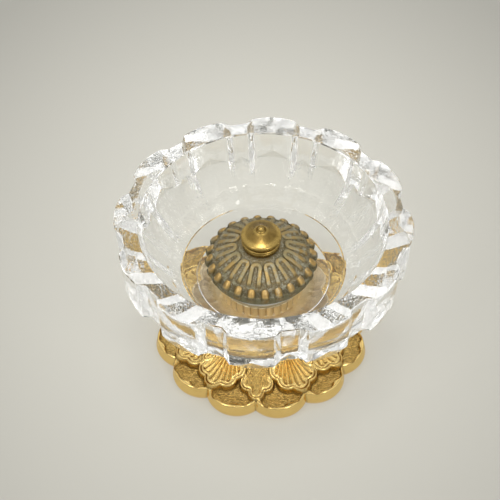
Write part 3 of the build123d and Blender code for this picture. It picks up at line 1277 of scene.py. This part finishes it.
@dataclass
class Knob(Turning):
    """Turned knob and the loose ring under it."""

    bead: float = 1.25
    bead_height: float = 3.4
    neck: float = 8.1
    spigot: float = 5.2
    spigot_length: float = 2.3
    bore: float = 3.06
    bore_depth: float = 6.2
    cone_top: float = 2.9
    cone_height: float = 6.95
    cone_swell: float = 0.12
    button_groove: Tuple[Point, ...] = ((2.65, 7.22), (2.30, 7.25), (2.12, 7.05), (1.92, 7.05), (1.72, 7.25))
    button: float = 1.5
    cone_out: float = 7.4
    ring_edge: float = 0.7
    ring_gap: float = 0.06
    columns: int = 160

    def groove_mask(self, radius: Values, angle: Values, height: Values) -> Carved:
        """Marks where the knob turns a darker brown: its turned grooves, the ring round its button and, half
        as much, its cone.
        """
        foot = self.base + self.spigot_length
        groove = hump(height - foot - 1.75, 0.28) * (radius > self.neck - 1.2)
        groove = np.maximum(groove, hump(height - foot, 0.25))
        upper = height > foot + self.bead_height
        ring = hump(radius - 2.05, 0.22) * upper
        cone = smooth((radius - 2.9) / 0.6) * smooth((self.cone_out - radius) / 1.2) * upper
        return radius, angle, height, np.maximum(groove, np.maximum(0.8 * ring, 0.50 * cone))

    def ring_mask(self, radius: Values, angle: Values, height: Values) -> Carved:
        """Marks the ring a darker brown, most of all towards its bottom."""
        return radius, angle, height, 0.75 - 0.45 * smooth((height - self.base) / 1.6)

    def build_knob(self, finish: Material) -> Piece:
        """Turns and dresses the knob."""
        self.measure("knob")
        foot = self.base + self.spigot_length
        bead_centre = (self.reach - self.bead, foot + self.bead_height)
        section = [(0.0, foot + self.bore_depth), (self.bore, foot + self.bore_depth)]
        section += [(self.bore, self.base), (self.spigot, self.base), (self.spigot, foot)]
        section += rounded((self.neck - 0.15, foot + 0.72), 0.70, -90.0, 80.0, 10)
        section += [(self.neck - 0.55, foot + 1.62), (self.neck - 0.62, foot + 1.85)]
        section += rounded(bead_centre, self.bead, -70.0, 62.0, 14)
        cone_start = section[-1]
        cone_end = (self.cone_top, foot + self.cone_height)
        section += sagged((cone_start[0] - 0.35, cone_start[1] + 0.12), cone_end, self.cone_swell, 16)
        section += [(radius, foot + rise) for radius, rise in self.button_groove]
        section += rounded((0.0, self.top - self.button), self.button, 8.0, 90.0, 10)
        plan = Plan("turned_knob", "knob", "knob_brass", "knob", self.columns, 40.0, ("groove",))
        return Bench.make(plan, section, self.groove_mask, finish)

    def build_ring(self, finish: Material) -> Piece:
        """Turns and dresses the ring under the knob."""
        self.measure("knob_ring")
        edge = self.ring_edge
        out = self.reach - edge
        hole = self.spigot + self.ring_gap
        section = [(hole, self.base)]
        section += rounded((out, self.base + edge), edge, -90.0, 0.0, 6)
        section += rounded((out, self.top - edge), edge, 0.0, 90.0, 6)
        section += [(hole, self.top)]
        plan = Plan("turned_ring", "knob_ring", "knob_brass", "ring", self.columns, 40.0, ("groove",))
        return Bench.make(plan, section, self.ring_mask, finish)


# ---------------------------------------------------------------- hidden parts


class Hardware:
    """Parts whose CAD shape is right and which only need their finish."""

    def dress(self, finishes: Finishes) -> None:
        """Gives each CAD part its material."""
        wearing: Dict[str, Material] = {
            "lower_gasket": finishes.washer,
            "upper_gasket": finishes.washer,
            "stud": finishes.steel,
            "foot_washer": finishes.steel,
            "hex_nut": finishes.steel,
        }
        for node, finish in wearing.items():
            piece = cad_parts[node]
            piece.data.materials.clear()
            piece.data.materials.append(finish)
            log.info("%s: CAD shape, %s", node, finish.name)


# ---------------------------------------------------------------- studio


@dataclass
class Studio:
    """Pale floor, soft light and the camera."""

    aim: Tuple[float, float, float] = (-4.90, 0.0, 59.57)
    elevation: float = 48.59
    distance: float = 657.2
    roll: float = 0.9
    lens: float = 108.0
    sensor: float = 36.0
    floor_size: float = 6.0
    # The floor's colour is a painted pool of light: it dims by floor_dim away from its middle and glows by
    # floor_glow, though it is no lamp.
    floor_colour: Colour = (0.395, 0.385, 0.345)
    floor_glow: float = 0.78
    floor_dim: float = 0.58
    floor_middle: Point = (-0.005, 0.052)
    floor_reach: Point = (0.123, 0.164)
    sky_colour: Colour = (1.02, 1.03, 1.02)
    wall_colour: Colour = (0.84, 0.84, 0.82)
    horizon_colour: Colour = (0.12, 0.115, 0.10)
    horizon_height: float = 0.51
    wall_height: float = 0.60
    sky_height: float = 0.95
    patch_scale: float = 1.7
    patch_detail: float = 1.5
    patch_range: Point = (0.40, 0.52)
    patch_strength: float = 0.72
    window_watts: float = 4.0
    spot_watts: float = 20.0
    spot_degrees: float = 22.0
    spot_softness: float = 0.22
    daylight: Colour = (1.0, 0.98, 0.95)
    spot_light: Colour = (1.0, 0.985, 0.95)

    @staticmethod
    def place(data: bpy.types.ID, matrix: Matrix) -> Piece:
        """Puts a camera or a lamp into the scene, with its place and direction."""
        thing = bpy.data.objects.new(data.name, data)
        bpy.context.scene.collection.objects.link(thing)
        thing.matrix_world = matrix
        return thing

    @staticmethod
    def facing(spot: Vector, ahead: Vector) -> Matrix:
        """The matrix of a thing that stands at a spot and looks ahead."""
        return Matrix.Translation(spot) @ ahead.to_track_quat("-Z", "Y").to_matrix().to_4x4()

    def camera(self) -> None:
        """Places the camera at its distance from the point it looks at."""
        slope = math.radians(self.elevation)
        ahead = Vector((0.0, math.cos(slope), -math.sin(slope)))
        data = bpy.data.cameras.new("view")
        data.sensor_width = self.sensor
        data.lens = self.lens
        spot = Vector(self.aim) * MM - ahead * (self.distance * MM)
        roll = Matrix.Rotation(math.radians(-self.roll), 4, "Z")
        bpy.context.scene.camera = self.place(data, self.facing(spot, ahead) @ roll)

    def floor(self) -> None:
        """Lays a large pale floor with a painted pool of light, brightest in its middle and dimmer away from
        it, that glows with this colour though it is no lamp.
        """
        Bench.clear()
        bpy.ops.mesh.primitive_plane_add(size=self.floor_size, location=AXIS)
        floor = bpy.context.object
        floor.name = "floor"
        shader = Shader("floor")
        away = shader.nodes.new("ShaderNodeMapping")
        away.vector_type = "TEXTURE"
        away.inputs["Location"].default_value = (*self.floor_middle, 0.0)
        away.inputs["Scale"].default_value = (*self.floor_reach, 1.0)
        reach = shader.nodes.new("ShaderNodeVectorMath")
        reach.operation = "LENGTH"
        shader.links.new(shader.place.outputs["Object"], away.inputs["Vector"])
        shader.links.new(away.outputs["Vector"], reach.inputs[0])
        # Painted pool of light: brightest in the middle of the floor, dimmer towards its edges.
        edge = shader.spread(reach.outputs["Value"], 0.35, 1.60)
        dim = tuple(c * self.floor_dim for c in self.floor_colour)
        painted_light_pool = shader.blend(edge, self.floor_colour, dim)
        shader.feed("Base Color", painted_light_pool)
        # Painted glow: the floor shines with its own colour, though it is no lamp.
        shader.feed("Emission Color", painted_light_pool)
        shader.set(Roughness=0.75, Emission_Strength=self.floor_glow)
        floor.data.materials.append(shader.material)

    def window(self, name: str, spot: Vector, size: Point) -> None:
        """Hangs one soft box that faces the dish.

        Args:
            name: The lamp's name.
            spot: Where it hangs, in metres.
            size: Its width and height, in metres.
        """
        data = bpy.data.lights.new(name, "AREA")
        data.shape = "RECTANGLE"
        data.size, data.size_y = size
        data.energy = self.window_watts
        data.color = self.daylight
        self.place(data, self.facing(spot, DISH_MIDDLE - spot))

    def sky(self) -> None:
        """Surrounds the dish with a pale room: bright above, dimmer walls, a dark horizon.

        A few patches of it are darker, so that the glass has something to show.
        """
        world = bpy.data.worlds.new("room")
        bpy.context.scene.world = world
        world.use_nodes = True
        nodes = world.node_tree.nodes
        links = world.node_tree.links
        nodes.clear()
        place = nodes.new("ShaderNodeTexCoord")
        split = nodes.new("ShaderNodeSeparateXYZ")
        half = nodes.new("ShaderNodeMapRange")
        half.inputs["From Min"].default_value = -1.0
        ramp = nodes.new("ShaderNodeValToRGB")
        stops = ramp.color_ramp.elements
        stops[0].position = self.horizon_height
        stops[0].color = (*self.horizon_colour, 1.0)
        stops.new(self.wall_height).color = (*self.wall_colour, 1.0)
        stops[2].position = self.sky_height
        stops[2].color = (*self.sky_colour, 1.0)
        patches = nodes.new("ShaderNodeTexNoise")
        patches.inputs["Scale"].default_value = self.patch_scale
        patches.inputs["Detail"].default_value = self.patch_detail
        shade = nodes.new("ShaderNodeMapRange")
        shade.inputs["From Min"].default_value = self.patch_range[0]
        shade.inputs["From Max"].default_value = self.patch_range[1]
        shade.inputs["To Min"].default_value = self.patch_strength
        glow = nodes.new("ShaderNodeBackground")
        out = nodes.new("ShaderNodeOutputWorld")
        links.new(place.outputs["Generated"], split.inputs["Vector"])
        links.new(place.outputs["Generated"], patches.inputs["Vector"])
        links.new(split.outputs["Z"], half.inputs["Value"])
        links.new(half.outputs["Result"], ramp.inputs["Fac"])
        links.new(ramp.outputs["Color"], glow.inputs["Color"])
        links.new(patches.outputs["Fac"], shade.inputs["Value"])
        links.new(shade.outputs["Result"], glow.inputs["Strength"])
        links.new(glow.outputs["Background"], out.inputs["Surface"])

    def spot(self) -> None:
        """Hangs a wide, soft spot that brightens the middle of the floor."""
        data = bpy.data.lights.new("spot", "SPOT")
        data.energy = self.spot_watts
        data.spot_size = math.radians(self.spot_degrees)
        data.spot_blend = 1.0
        data.shadow_soft_size = self.spot_softness
        data.color = self.spot_light
        self.place(data, Matrix.Translation((0.0, 0.02, 1.5)))

    def build(self) -> None:
        """Sets up the whole studio."""
        self.camera()
        self.floor()
        self.sky()
        self.window("window_left", Vector((-0.9, -0.9, 1.3)), (0.45, 0.7))
        self.window("window_right", Vector((0.8, -1.1, 1.2)), (0.4, 0.6))
        self.spot()
        scene = bpy.context.scene
        scene.view_settings.view_transform = "Standard"
        scene.cycles.max_bounces = GLASS_BOUNCES
        scene.cycles.glossy_bounces = GLASS_BOUNCES
        scene.cycles.transmission_bounces = GLASS_BOUNCES


def main() -> None:
    """Builds the dish from the foot up, then the studio."""
    logging.basicConfig(level=logging.INFO, format="%(message)s")
    finishes = Finishes.build()
    Foot().build(finishes.gilt)
    Seat().build(finishes.satin)
    Collar().build(finishes.satin)
    CrystalBowl().build(finishes.crystal)
    Rosette().build(finishes.patina)
    knob = Knob()
    knob.build_knob(finishes.turned)
    knob.build_ring(finishes.turned)
    Hardware().dress(finishes)
    Studio().build()
    Bench.clear()


if __name__ == "__main__":
    main()
